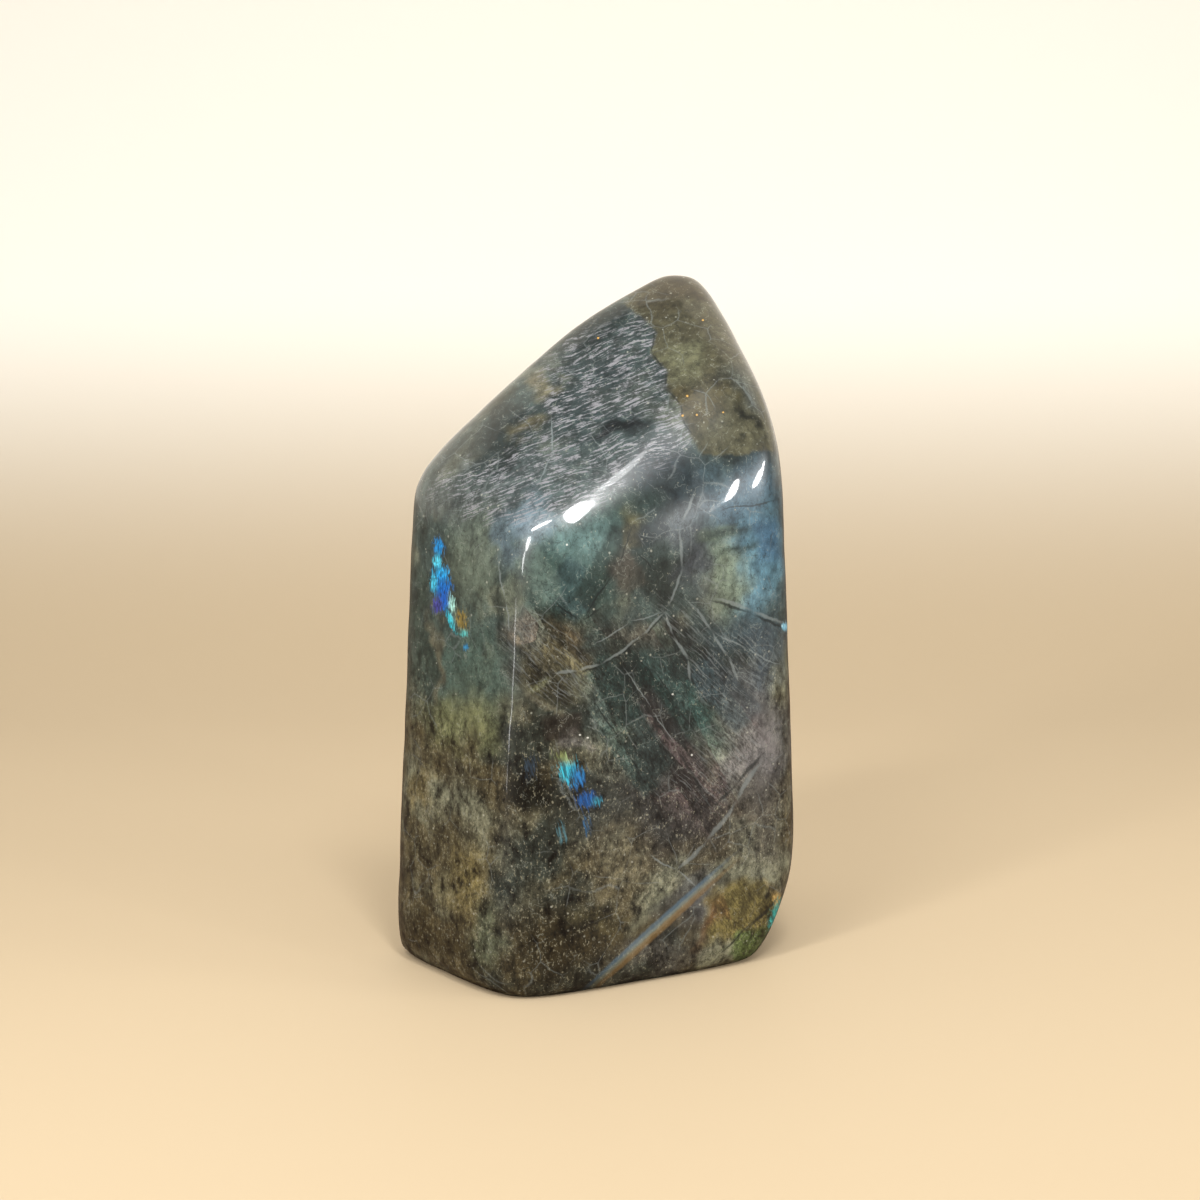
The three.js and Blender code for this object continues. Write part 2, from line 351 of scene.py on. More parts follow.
# The lobes of the flashes that the camera sees: where each lies, its reach, its turn, its colour and
# its strength. Those on the other sides have a place in the stone, a reach and a colour, and are so
# many times as tall as wide.
FLASHES = {
    "left top": ((-33.1, 10.8), (1.7, 3.0), 0, "1c86c4", 1.0),
    "left neck": ((-33.4, 7.7), (1.4, 2.6), 0, "58c4dc", 1.0),
    "left shoulder": ((-32.6, 5.2), (2.7, 2.8), 0, "2b9ed4", 1.0),
    "left belly": ((-32.4, 2.7), (2.9, 3.4), 0, "1672bc", 1.0),
    "left side": ((-34.2, 3.5), (1.2, 3.0), 0, "4cb8d4", 0.95),
    "left low": ((-31.8, 0.2), (2.0, 3.8), 8, "1d62b8", 1.0),
    "left violet": ((-33.5, -1.0), (1.6, 2.6), 0, "4b4c94", 0.9),
    "left tail": ((-30.6, -4.1), (1.2, 3.6), 18, "3aa8b8", 1.0),
    "left pale edge": ((-30.4, -0.9), (1.1, 3.4), 8, "a4d4cc", 1.0),
    "gold tail": ((-28.5, -4.1), (2.2, 3.8), 12, "857542", 0.8),
    "tail end": ((-28.1, -6.9), (1.7, 1.2), 0, "4fa0a0", 0.9),
    "left dot": ((-27.5, -9.8), (0.9, 1.1), 0, "2f86b4", 0.8),
    "cyan fan": ((-6.4, -35.0), (4.0, 4.0), -20, "38a4b8", 0.9),
    "gold lip": ((-7.6, -32.4), (3.8, 1.7), -20, "87905f", 0.85),
    "blue fan": ((-4.6, -36.2), (2.6, 3.8), -6, "2468a0", 0.85),
    "low blue": ((-2.7, -41.1), (3.6, 2.8), -5, "1f5690", 0.9),
    "low cyan": ((-0.6, -41.4), (1.6, 1.6), 0, "3a8a9c", 0.85),
    "faint": ((-7.7, -47.9), (1.8, 3.4), 0, "4a6f78", 0.7),
    "faint right": ((-2.6, -46.4), (1.3, 3.8), 0, "2f5676", 0.7),
    "dark blue": ((-14.5, -34.5), (2.8, 4.2), 0, "33424f", 0.6),
    "heel": ((36.4, -65.0), (2.2, 5.5), -14, "38a8a2", 1.0),
    "right edge": ((38.0, -5.5), (1.2, 1.3), 0, "9ad8f0", 1.0),
}
FLASH_EDGE = 0.9
FLASH_HEIGHT = 1.7
FAR_FLASHES = {
    "back gold rim": ((19, 24, 90), 10, "8f8450"),
    "back green rim": ((17, 24, 92), 9.5, "3f9c94"),
    "back blue": ((14, 24, 94), 9, "1f78cc"),
    "back deep blue": ((11, 24, 100), 6, "1c55a8"),
    "back low rim": ((-23, 22, 36), 6.5, "6f8a5c"),
    "back low": ((-21, 23, 40), 6, "2a78b4"),
    "right rim": ((39, 2, 82), 8, "5f8f70"),
    "right": ((39, 4, 86), 7.5, "2389cc"),
    "right deep": ((39, 6, 90), 5, "1f5cae"),
}

# The brightest specks: where each lies, and the reach of all. The gold ones are specks in the stone,
# painted as bright as their sparkle; the pale ones are painted glints, and the one under the key is a
# painted highlight dot beside the key highlight.
GOLD_SPECKS = {
    "peak": (21.1, 57.5),
    "middle": (17.9, 41.9),
    "middle right": (19.9, 38.0),
    "middle left": (17.0, 37.8),
    "right": (25.3, 38.6),
    "slope": (-0.4, 53.8),
}
PAINTED_GLINTS = {
    "centre": (15.0, -19.3),
    "centre low": (18.9, -31.8),
    "crystal": (-4.1, -27.7),
    "crystal right": (-2.5, -28.3),
    "painted highlight dot under the key": (-6.8, 11.3),
    "right end": (37.4, -5.3),
}
SPECK_REACH = 0.26

# The rainbow over a crack inside: the two ends of each band, its width, its colour and its strength.
RAINBOW = {
    "blue side": ((-5.0, -81.6), (28.0, -51.8), 1.6, "5c7d94", 0.42),
    "pale side": ((-4.6, -82.1), (28.4, -52.3), 1.4, "8f9482", 0.36),
    "gold side": ((-4.1, -82.6), (28.9, -52.8), 1.6, "85693d", 0.5),
}

# The fine marks in the stone: the colour of each kind and its strength.
FINE_MARKS = {
    "streak": ("828287", 1.0),
    "feather": ("72797a", 0.42),
    "feather shadow": ("23292a", 0.5),
    "net": ("757d7d", 0.38),
    "dark crack": ("171b1b", 0.55),
    "pale crack": ("8b8f86", 0.5),
    "fleck": ("a09c86", 0.4),
    "pit": ("1c201b", 1.0),
    "dark speck": ("14181a", 0.7),
    "pale speck": ("b4b5a8", 0.75),
    "dark line": ("161c1c", 0.7),
    "healed crack": ("7d8687", 0.5),
    # Both sparks are painted glints, the gold one laid on specks of the stone.
    "gold speck with painted glint": ("c79a48", 0.9),
    "painted white glint": ("c9cbc6", 0.9),
}
BLACK = (0, 0, 0, 1)
WARM_PLATE = (1.05, 0.86, 0.88, 1)
DARKEST = 0.12

# The sizes of the two warps that bend the marks, and of the marks: how wide, deep and tall one of each
# kind is before it is turned, in millimetres. Grooves are given as shares of a plate.
WIDE_WARP_SIZE = 9.0
CLOSE_WARP_SIZE = 1.8
MOTTLE_SIZE = (2.6, 2.6, 3.8)
PLATE_SIZE = (30.0, 12.0, 5.0)
PLATE_TURN = (0.2, math.radians(56), 0.3)
GROOVE_SIZE = (0.055, 0.035, 0.08)
STREAK_SIZE = (3.8, 0.40, 1.0)
STREAK_TURN = (0, 0, math.radians(21))
FEATHER_SIZE = (4.5, 0.42, 1.0)
FEATHER_TURN = (0, 0, math.radians(-42))
NET_SIZE = 7.5
CRACK_SIZE = 2.4
FLECK_SIZE = (0.5, 0.5, 0.85)
SPECK_CELL = 1.7
LAYER_SIZE = (0.34, 0.34, 4.0)
LAYER_TURN = (0, math.radians(-14), 0)


def activate(piece):
    bpy.ops.object.select_all(action="DESELECT")
    piece.select_set(True)
    bpy.context.view_layer.objects.active = piece


def outward(facing, rise):
    turn = math.radians(facing)
    lift = math.radians(rise)
    return Vector((math.sin(turn) * math.cos(lift), -math.cos(turn) * math.cos(lift), math.sin(lift)))


def grind(piece, centre, normal):
    """Takes away all of the piece that lies beyond a plane, and closes the cut."""
    activate(piece)
    bpy.ops.object.mode_set(mode="EDIT")
    bpy.ops.mesh.select_all(action="SELECT")
    bpy.ops.mesh.bisect(
        plane_co=centre, plane_no=normal, threshold=0.001 * MM, use_fill=True, clear_outer=True)
    bpy.ops.object.mode_set(mode="OBJECT")


def grind_flats(piece, flats):
    for facing, rise, reach in flats.values():
        normal = outward(facing, rise)
        grind(piece, HEART + normal * reach * MM, normal)


def apply_modifier(piece, kind, **settings):
    activate(piece)
    bpy.ops.object.modifier_add(type=kind)
    modifier = piece.modifiers[-1]
    for name, value in settings.items():
        setattr(modifier, name, value)
    bpy.ops.object.modifier_apply(modifier=modifier.name)


def tumble(piece, grain, passes):
    """Wears every edge of the piece soft."""
    apply_modifier(piece, "REMESH", mode="VOXEL", voxel_size=grain)
    apply_modifier(piece, "SMOOTH", factor=1.0, iterations=passes)


def polish(piece):
    """Leaves the shallow waves of hand polishing."""
    waves = bpy.data.textures.new("polishing waves", "CLOUDS")
    waves.noise_scale = POLISH_WAVELENGTH
    waves.noise_depth = 1
    apply_modifier(
        piece, "DISPLACE", texture=waves, texture_coords="GLOBAL", strength=POLISH_WAVE, mid_level=0.5)


def make_stone():
    """Cuts the blank to its flats, tumbles it twice and saws its base flat."""
    down = Vector((0, 0, -1))
    bpy.ops.object.select_all(action="DESELECT")
    bpy.ops.mesh.primitive_cube_add(size=1, location=BLANK_CENTRE, scale=BLANK_SIZE)
    stone = bpy.context.object
    stone.name = "labradorite"
    bpy.ops.object.transform_apply(location=True, rotation=True, scale=True)
    grind_flats(stone, SIDE_FLATS)
    tumble(stone, COARSE_GRAIN, SIDE_PASSES)
    grind_flats(stone, END_FLATS)
    grind(stone, down * SAW_ALLOWANCE, down)
    tumble(stone, FINE_GRAIN, END_PASSES)
    polish(stone)
    grind(stone, Vector((0, 0, 0)), down)
    bpy.ops.object.shade_smooth_by_angle(angle=math.radians(SHARP_ANGLE))
    return stone


def tone(code):
    """Turns a colour as it looks on a screen into the light that it sends back."""
    channels = [int(code[start:start + 2], 16) / 255 for start in (0, 2, 4)]
    linear = [value / 12.92 if value <= 0.04045 else ((value + 0.055) / 1.055) ** 2.4 for value in channels]
    return (*linear, 1.0)


def deep(code):
    """A colour of the stone under its polish, which deepens dark tones more than pale ones."""
    return Vector(channel ** POLISH_DEPTH * POLISH_DEPTH for channel in tone(code)[:3])


def smooth_step(value, low, high):
    share = min(max((value - low) / (high - low), 0.0), 1.0)
    return share * share * (3 - 2 * share)


class View:
    """The picture plane of the camera, in millimetres from the middle of the picture."""

    def __init__(self):
        self.back = outward(CAMERA_AZIMUTH, CAMERA_RISE)
        self.across = Vector((0, 0, 1)).cross(self.back).normalized()
        self.upward = self.back.cross(self.across)
        self.distance = CAMERA_DISTANCE / MM
        self.eye = CAMERA_AIM / MM + self.back * self.distance

    def spot(self, place):
        """Where the camera sees a place of the stone."""
        offset = place - self.eye
        nearness = self.distance / -offset.dot(self.back)
        return Vector((offset.dot(self.across), offset.dot(self.upward))) * nearness

    def facing(self, place, normal):
        """1 where the stone faces the camera, and 0 where it faces away."""
        return smooth_step(normal.dot((self.eye - place).normalized()), 0.0, GRAZING)


class Oval:
    """An oval mark on the front of the stone. Edge is the share of its reach that fades."""

    def __init__(self, at, reach, turn, edge, code="000000", strength=1.0):
        angle = math.radians(turn)
        self.at = Vector(at)
        self.along = Vector((math.cos(angle), math.sin(angle))) / reach[0]
        self.across = Vector((-math.sin(angle), math.cos(angle))) / reach[1]
        self.edge = edge
        self.color = deep(code)
        self.strength = strength

    def distance(self, first, second):
        return math.sqrt(first * first + second * second)

    def cover(self, spot):
        """How strongly the mark shows at a place of the picture."""
        offset = spot - self.at
        inside = 1 - self.distance(offset.dot(self.along), offset.dot(self.across))
        return smooth_step(inside, 0.0, self.edge) * self.strength if inside > 0 else 0.0


class Plate(Oval):
    """A mark on the front of the stone with four straight sides."""

    def distance(self, first, second):
        return max(abs(first), abs(second))


NEAR_OVALS = [Oval(*mark) for mark in CLOUDS.values()]
BEYOND_OVALS = [Oval(*mark) for mark in BEYOND.values()]
NEAR_PLATES = [Plate(*mark) for mark in PLATES.values()]
ZONES = (STREAKED, UNSTREAKED, FEATHERED, PLATED, CLEAR)
ZONE_OVALS = [[Oval(*mark) for mark in zone.values()] for zone in ZONES]
FLASH_OVALS = [
    Oval(at, reach, turn, FLASH_EDGE, code, strength)
    for at, reach, turn, code, strength in FLASHES.values()]


def ball_cover(place, middle, reach, edge, height=1.0):
    """How strongly a ball of colour in the stone shows at a place."""
    offset = place - Vector(middle)
    offset.z /= height
    return smooth_step(1 - offset.length / reach, 0.0, edge)


def beyond_seam(spot):
    """1 at the right of the seam, 0 at its left and below its end."""
    for (low_across, low), (high_across, high) in zip(SEAM[1:], SEAM):
        if low <= spot.y < high:
            seam = low_across + (high_across - low_across) * (spot.y - low) / (high - low)
            return smooth_step(spot.x - seam, -SEAM_EDGE, SEAM_EDGE)
    return 1.0 if spot.y >= SEAM[0][1] else 0.0


def wander(place):
    total = Vector((0, 0, 0))
    for distance, amount in WANDERS:
        total += noise.noise_vector(place / distance) * amount
    return total


def ground_color(place):
    """Slate above and olive brown below, with dark pools and pale clouds."""
    level = place.z + noise.fractal(place / GROUND_DRIFT_SIZE, 1.0, 2.0, 3) * GROUND_DRIFT
    color = deep(GROUND_BROWN).lerp(deep(GROUND_SLATE), smooth_step(level, BROWN_TOP, SLATE_FOOT))
    pool = noise.fractal(place / POOL_SIZE + POOL_START, 0.9, 2.0, 4)
    color = color.lerp(deep(POOL_DARK), smooth_step(pool, 0.05, 0.5) * 0.9)
    return color.lerp(deep(POOL_PALE), smooth_step(-pool, 0.15, 0.6) * 0.8)


def stone_color(place, spot, rough, facing):
    """The clouds at one point: the far ones everywhere, and the near ones where the camera sees it."""
    color = ground_color(place)
    loose = place + wander(place) * FAR_WANDER
    for middle, reach, code, strength in FAR_CLOUDS.values():
        cover = ball_cover(loose, middle, reach, FAR_CLOUD_EDGE) * strength
        color = color.lerp(deep(code), cover * (1 - facing))
    for oval in NEAR_OVALS:
        cover = oval.cover(rough)
        if cover:
            color = color.lerp(oval.color, cover * facing)
    nearly_straight = spot.lerp(rough, EDGE_WANDER)
    beyond = beyond_seam(nearly_straight) * facing
    for oval in BEYOND_OVALS if beyond else ():
        color = color.lerp(oval.color, oval.cover(rough) * beyond)
    for plate in NEAR_PLATES:
        cover = plate.cover(nearly_straight)
        if cover:
            color = color.lerp(plate.color, cover * facing)
    return color


def stone_zones(place, spot, rough, facing):
    """How streaked, feathered, plated and granular one point of the stone is."""
    marks = [max(oval.cover(rough) for oval in ovals) * facing for ovals in ZONE_OVALS]
    streaked, unstreaked, feathered, plated, clear = marks
    streaked *= 1 - beyond_seam(spot.lerp(rough, EDGE_WANDER))
    streaked *= 1 - WINDOW_CLEARNESS * unstreaked
    height = place.z + noise.noise(place / GRAIN_DRIFT_SIZE) * GRAIN_DRIFT
    granular = (1 - smooth_step(height, GRAIN_FULL, GRAIN_NONE)) * (1 - ZONE_CLEARNESS * clear)
    return streaked, feathered, max(plated, FAR_PLATES * (1 - facing)), granular


def stone_flash(place, spot, facing):
    """The colour of the flash at one point, and how strong it is there."""
    lobes = [(oval.color, oval.cover(spot) * facing) for oval in FLASH_OVALS]
    loose = place + wander(place) * FLASH_WANDER
    for middle, reach, code in FAR_FLASHES.values():
        share = ball_cover(loose, middle, reach, FLASH_EDGE, FLASH_HEIGHT) * (1 - facing)
        lobes.append((Vector(tone(code)[:3]), share))
    color = Vector((0, 0, 0))
    cover = 0.0
    for lobe, share in lobes:
        if share:
            color = color.lerp(lobe, share / max(share + cover * (1 - share), 0.001))
            cover = max(cover, share)
    return color, cover


def stain(stone):
    """Stores the clouds, the zones and the flashes at the stone's points, for its material to read."""
    noise.seed_set(SEED)
    mesh = stone.data
    names = ("clouds", "zones", "flashes")
    layers = [mesh.color_attributes.new(name, "FLOAT_COLOR", "POINT") for name in names]
    view = View()
    for vertex, clouds, zones, flashes in zip(mesh.vertices, *(layer.data for layer in layers)):
        place = vertex.co / MM
        spot = view.spot(place)
        facing = view.facing(place, vertex.normal)
        rough = spot + wander(place).xy
        clouds.color = (*stone_color(place, spot, rough, facing), 1.0)
        zones.color = stone_zones(place, spot, rough, facing)
        color, cover = stone_flash(place, spot, facing)
        flashes.color = (*color, cover)


class Nodes:
    """Adds shader nodes to one tree. An input is a plain value or another node's socket."""

    def __init__(self, tree):
        self.tree = tree

    def add(self, kind, inputs=None, **settings):
        node = self.tree.nodes.new(kind)
        node.location = (220 * len(self.tree.nodes), 0)
        for name, value in settings.items():
            setattr(node, name, value)
        for socket, value in (inputs or {}).items():
            self.feed(node.inputs[socket], value)
        return node

    def feed(self, socket, value):
        if isinstance(value, bpy.types.NodeSocket):
            self.tree.links.new(value, socket)
        else:
            socket.default_value = value

    def group(self, tree, **inputs):
        return self.add("ShaderNodeGroup", inputs, node_tree=tree).outputs

    def stored(self, name):
        """What is stored at the stone's points under a name."""
        return self.add("ShaderNodeAttribute", attribute_name=name).outputs

    def math(self, operation, first, second=0.0, third=0.0):
        inputs = {0: first, 1: second, 2: third}
        return self.add("ShaderNodeMath", inputs, operation=operation).outputs[0]

    def times(self, first, *others):
        for other in others:
            first = self.math("MULTIPLY", first, other)
        return first

    def vector(self, operation, first, second=(0, 0, 0), third=(0, 0, 0)):
        inputs = {0: first, 1: second, 2: third}
        node = self.add("ShaderNodeVectorMath", inputs, operation=operation)
        return node.outputs["Value" if operation == "DOT_PRODUCT" else "Vector"]

    def scaled(self, vector, factor):
        node = self.add("ShaderNodeVectorMath", {0: vector, "Scale": factor}, operation="SCALE")
        return node.outputs["Vector"]

    def remap(self, value, low, high, new_low=0.0, new_high=1.0, smooth=True):
        kind = "SMOOTHSTEP" if smooth else "LINEAR"
        inputs = {"Value": value, "From Min": low, "From Max": high, "To Min": new_low, "To Max": new_high}
        return self.add("ShaderNodeMapRange", inputs, interpolation_type=kind).outputs["Result"]

    def mapped(self, vector, size, turn=(0, 0, 0)):
        inputs = {"Vector": vector, "Rotation": turn, "Scale": size}
        return self.add("ShaderNodeMapping", inputs, vector_type="TEXTURE").outputs["Vector"]

    def noise(self, vector, size, detail, roughness=0.5):
        inputs = {"Vector": vector, "Scale": 1 / size, "Detail": detail, "Roughness": roughness}
        return self.add("ShaderNodeTexNoise", inputs).outputs

    def cells(self, vector, size, feature="F1"):
        inputs = {"Vector": vector, "Scale": 1 / size}
        return self.add("ShaderNodeTexVoronoi", inputs, feature=feature).outputs

    def parts(self, vector):
        return self.add("ShaderNodeSeparateXYZ", {0: vector}).outputs

    def grey(self, value):
        return self.add("ShaderNodeCombineColor", {0: value, 1: value, 2: value}).outputs[0]

    def mix(self, factor, first, second, blend="MIX"):
        inputs = {0: factor, 6: first, 7: second}
        return self.add("ShaderNodeMix", inputs, data_type="RGBA", blend_type=blend).outputs[2]


def new_group(name, inputs, outputs):
    """Starts a node group, and returns it with its nodes, its entry and its exit."""
    group = bpy.data.node_groups.new(name, "ShaderNodeTree")
    for label, kind in inputs.items():
        group.interface.new_socket(label, in_out="INPUT", socket_type="NodeSocket" + kind)
    for label, kind in outputs.items():
        group.interface.new_socket(label, in_out="OUTPUT", socket_type="NodeSocket" + kind)
    nodes = Nodes(group)
    entry = nodes.add("NodeGroupInput")
    leave = nodes.add("NodeGroupOutput")
    return group, nodes, entry.outputs, leave.inputs


def view_group():
    """Gives each point of the stone its place as the camera sees it, in millimetres across and up from
    the middle of the picture, and how squarely the stone faces the camera there."""
    inputs = {"Place": "Vector", "Normal": "Vector"}
    outputs = {"Spot": "Vector", "Facing": "Float"}
    group, nodes, entry, leave = new_group("seen from the front", inputs, outputs)
    view = View()
    offset = nodes.vector("SUBTRACT", entry["Place"], tuple(view.eye))
    nearness = nodes.math("DIVIDE", view.distance, nodes.vector("DOT_PRODUCT", offset, tuple(-view.back)))
    flat = nodes.add("ShaderNodeCombineXYZ", {
        "X": nodes.times(nodes.vector("DOT_PRODUCT", offset, tuple(view.across)), nearness),
        "Y": nodes.times(nodes.vector("DOT_PRODUCT", offset, tuple(view.upward)), nearness),
        "Z": 1.0})
    toward = nodes.vector("NORMALIZE", nodes.scaled(offset, -1.0))
    facing = nodes.vector("DOT_PRODUCT", entry["Normal"], toward)
    nodes.feed(leave["Spot"], flat.outputs[0])
    nodes.feed(leave["Facing"], nodes.remap(facing, 0.0, GRAZING))
    return group


def line_group():
    """How far a place of the picture lies from a short line: 0 on its middle, 1 on its rim, and more
    outside. Along and Across hold the line's two directions, over its reach, and its middle's offset."""
    inputs = {"Spot": "Vector", "Along": "Vector", "Across": "Vector"}
    group, nodes, entry, leave = new_group("near a line", inputs, {"Distance": "Float"})
    first = nodes.vector("DOT_PRODUCT", entry["Spot"], entry["Along"])
    second = nodes.vector("DOT_PRODUCT", entry["Spot"], entry["Across"])
    nodes.feed(leave["Distance"], nodes.math("MULTIPLY_ADD", first, first, nodes.times(second, second)))
    return group


def streak_group():
    """Fine streaks that run one way, high on a streak and low between two."""
    inputs = {"Spot": "Vector", "Size": "Vector", "Turn": "Vector"}
    group, nodes, entry, leave = new_group("fine streaks", inputs, {"Height": "Float"})
    along = nodes.mapped(entry["Spot"], entry["Size"], entry["Turn"])
    nodes.feed(leave["Height"], nodes.noise(along, 1.0, 2.5, 0.65)["Fac"])
    return group


def crack_group():
    """Thin cracks along the places where a noise crosses a level."""
    inputs = {"Noise": "Float", "Level": "Float", "Width": "Float"}
    group, nodes, entry, leave = new_group("thin cracks", inputs, {"Mask": "Float"})
    off_level = nodes.math("ABSOLUTE", nodes.math("SUBTRACT", entry["Noise"], entry["Level"]))
    nodes.feed(leave["Mask"], nodes.remap(off_level, entry["Width"], 0.0))
    return group


def speck_group():
    """Specks in the middles of cells, in those whose chance is above Rarity, up to Reach in size."""
    inputs = {"Distance": "Float", "Chance": "Float", "Rarity": "Float", "Reach": "Float"}
    group, nodes, entry, leave = new_group("specks", inputs, {"Mask": "Float"})
    size = nodes.remap(entry["Chance"], entry["Rarity"], 1.0, 0.0, entry["Reach"], smooth=False)
    nodes.feed(leave["Mask"], nodes.remap(entry["Distance"], size, 0.0, smooth=False))
    return group


class StonePaint:
    """Paints thin marks on the front of the stone."""

    def __init__(self, nodes, line, spot):
        self.nodes = nodes
        self.line = line
        self.spot = spot

    def distance(self, start, end, width):
        run = Vector(end) - Vector(start)
        middle = (Vector(start) + Vector(end)) / 2
        along = run.normalized() / (run.length * LINE_OVERLAP / 2)
        across = Vector((-run.y, run.x)).normalized() / (width / 2)
        inputs = {
            "Spot": self.spot,
            "Along": (*along, -along.dot(middle)),
            "Across": (*across, -across.dot(middle))}
        return self.nodes.group(self.line, **inputs)["Distance"]

    def stroke(self, color, pieces, code, strength):
        """Paints short lines, each with two ends and a width, in one colour."""
        nearest = self.distance(*pieces[0])
        for piece in pieces[1:]:
            nearest = self.nodes.math("MINIMUM", nearest, self.distance(*piece))
        mask = self.nodes.times(self.nodes.remap(nearest, 1.0, LINE_HEART), strength)
        return self.nodes.mix(mask, color, tone(code))

    def lines(self, color, lines, mark):
        pieces = [(start, end, width) for corners, width in lines.values()
                  for start, end in zip(corners, corners[1:])]
        return self.stroke(color, pieces, *FINE_MARKS[mark])

    def specks(self, color, specks, mark):
        pieces = [((across - SPECK_REACH, up), (across + SPECK_REACH, up), SPECK_REACH * 2)
                  for across, up in specks.values()]
        return self.stroke(color, pieces, *FINE_MARKS[mark])

    def rainbow(self, color):
        for start, end, width, code, strength in RAINBOW.values():
            color = self.stroke(color, [(start, end, width)], code, strength)
        return color


class StoneLook:
    """Builds the colour of the stone, one kind of mark over another."""

    def __init__(self, nodes):
        self.nodes = nodes
        source = nodes.add("ShaderNodeTexCoord").outputs
        self.place = nodes.scaled(source["Object"], 1 / MM)
        self.color = nodes.stored("clouds")["Color"]
        zones = nodes.stored("zones")
        zone_parts = nodes.parts(zones["Color"])
        self.streaked = zone_parts["X"]
        self.feathered = zone_parts["Y"]
        self.plated = zone_parts["Z"]
        self.granular = zones["Alpha"]
        view = nodes.group(view_group(), Place=self.place, Normal=source["Normal"])
        self.spot = view["Spot"]
        self.facing = view["Facing"]
        self.warp()
        self.mottle = nodes.noise(nodes.mapped(self.place, MOTTLE_SIZE), 1.0, 4.5, 0.78)["Fac"]

    def warp(self):
        """Makes two warps, a close one for ragged edges and a wide one for long bends."""
        nodes = self.nodes
        middle = (0.5, 0.5, 0.5)
        wide = nodes.noise(self.place, WIDE_WARP_SIZE, 1.0)["Color"]
        close = nodes.noise(self.place, CLOSE_WARP_SIZE, 2.0, 0.6)["Color"]
        self.patches = nodes.parts(wide)["Y"]
        self.wide = nodes.vector("SUBTRACT", wide, middle)
        self.close = nodes.vector("SUBTRACT", close, middle)

    def warped(self, place, close, wide, depth):
        """A place moved by the two warps. Depth is 0 for a place of the picture, 1 for one in the stone."""
        place = self.nodes.vector("MULTIPLY_ADD", self.close, (close, close, close * depth), place)
        if wide:
            place = self.nodes.vector("MULTIPLY_ADD", self.wide, (wide, wide, wide * depth), place)
        return place

    def bent_spot(self, close, wide=0.0):
        """The place in the picture, moved up to half of each amount, in millimetres, each way."""
        return self.warped(self.spot, close, wide, 0)

    def bent_place(self, close, wide=0.0):
        """The place in the stone, moved in the same way."""
        return self.warped(self.place, close, wide, 1)

    def mark(self, mask, name):
        """Lays one kind of fine mark over the stone."""
        code, strength = FINE_MARKS[name]
        self.color = self.nodes.mix(self.nodes.times(mask, strength), self.color, tone(code))

    def shade(self, light):
        self.color = self.nodes.mix(1.0, self.color, self.nodes.grey(light), blend="MULTIPLY")

    def where_plated(self, light):
        """A light where the stone is split in plates, and 1 elsewhere."""
        return self.nodes.math("MULTIPLY_ADD", self.nodes.math("SUBTRACT", light, 1.0), self.plated, 1.0)

    def plates_and_mottling(self):
        """Cleavage plates that catch the light or stay dark, and mottling, strong where it is granular."""
        nodes = self.nodes
        self.plates = nodes.mapped(self.bent_place(0.7), PLATE_SIZE, PLATE_TURN)
        plate = nodes.parts(nodes.cells(self.plates, 1.0)["Color"])
        warm = nodes.times(nodes.remap(plate["Y"], 0.55, 0.75), self.plated)
        self.color = nodes.mix(warm, self.color, WARM_PLATE, blend="MULTIPLY")
        plate_light = self.where_plated(nodes.remap(plate["X"], 0.0, 1.0, 0.45, 1.65, smooth=False))
        depth = nodes.remap(self.granular, 0.0, 1.0, 0.4, 0.85)
        swing = nodes.remap(self.mottle, 0.34, 0.66, -1.0, 1.4, smooth=False)
        mottled = nodes.math("MULTIPLY_ADD", swing, depth, 0.86)
        self.shade(nodes.math("MAXIMUM", nodes.times(mottled, plate_light), DARKEST))

    def grooves(self):
        """Fine lines along the cleavage."""
        nodes = self.nodes
        grooves = nodes.noise(nodes.mapped(self.plates, GROOVE_SIZE), 1.0, 2.0, 0.7)["Fac"]
        self.shade(self.where_plated(nodes.remap(grooves, 0.36, 0.64, 0.55, 1.5, smooth=False)))

    def streaks(self):
        """Fine pale streaks on the slanted top, and feathers that run down to the right."""
        nodes = self.nodes
        group = streak_group()
        spot = self.bent_spot(0.5, 2.0)
        streaks = nodes.group(group, Spot=spot, Size=STREAK_SIZE, Turn=STREAK_TURN)["Height"]
        patchy = nodes.remap(self.mottle, 0.40, 0.54, 0.15, 0.95)
        self.mark(nodes.times(nodes.remap(streaks, 0.51, 0.57), self.streaked, patchy), "streak")
        feathers = nodes.group(group, Spot=spot, Size=FEATHER_SIZE, Turn=FEATHER_TURN)["Height"]
        self.mark(nodes.times(nodes.remap(feathers, 0.52, 0.62), self.feathered), "feather")
        self.mark(nodes.times(nodes.remap(feathers, 0.45, 0.36), self.feathered), "feather shadow")

    def healed_net(self):
        """A pale net of healed cracks, in patches."""
        nodes = self.nodes
        rims = nodes.cells(self.bent_place(0.5, 2.5), NET_SIZE, "DISTANCE_TO_EDGE")["Distance"]
        self.mark(nodes.times(nodes.remap(rims, 0.022, 0.0), nodes.remap(self.patches, 0.48, 0.60)), "net")

    def short_cracks(self):
        """Short cracks all over, the pale ones in patches."""
        nodes = self.nodes
        group = crack_group()
        worn = nodes.noise(self.bent_place(0.4), CRACK_SIZE, 2.0, 0.6)["Fac"]
        self.mark(nodes.group(group, Noise=worn, Level=0.45, Width=0.016)["Mask"], "dark crack")
        pale = nodes.group(group, Noise=worn, Level=0.53, Width=0.014)["Mask"]
        self.mark(nodes.times(pale, nodes.remap(self.mottle, 0.47, 0.56)), "pale crack")

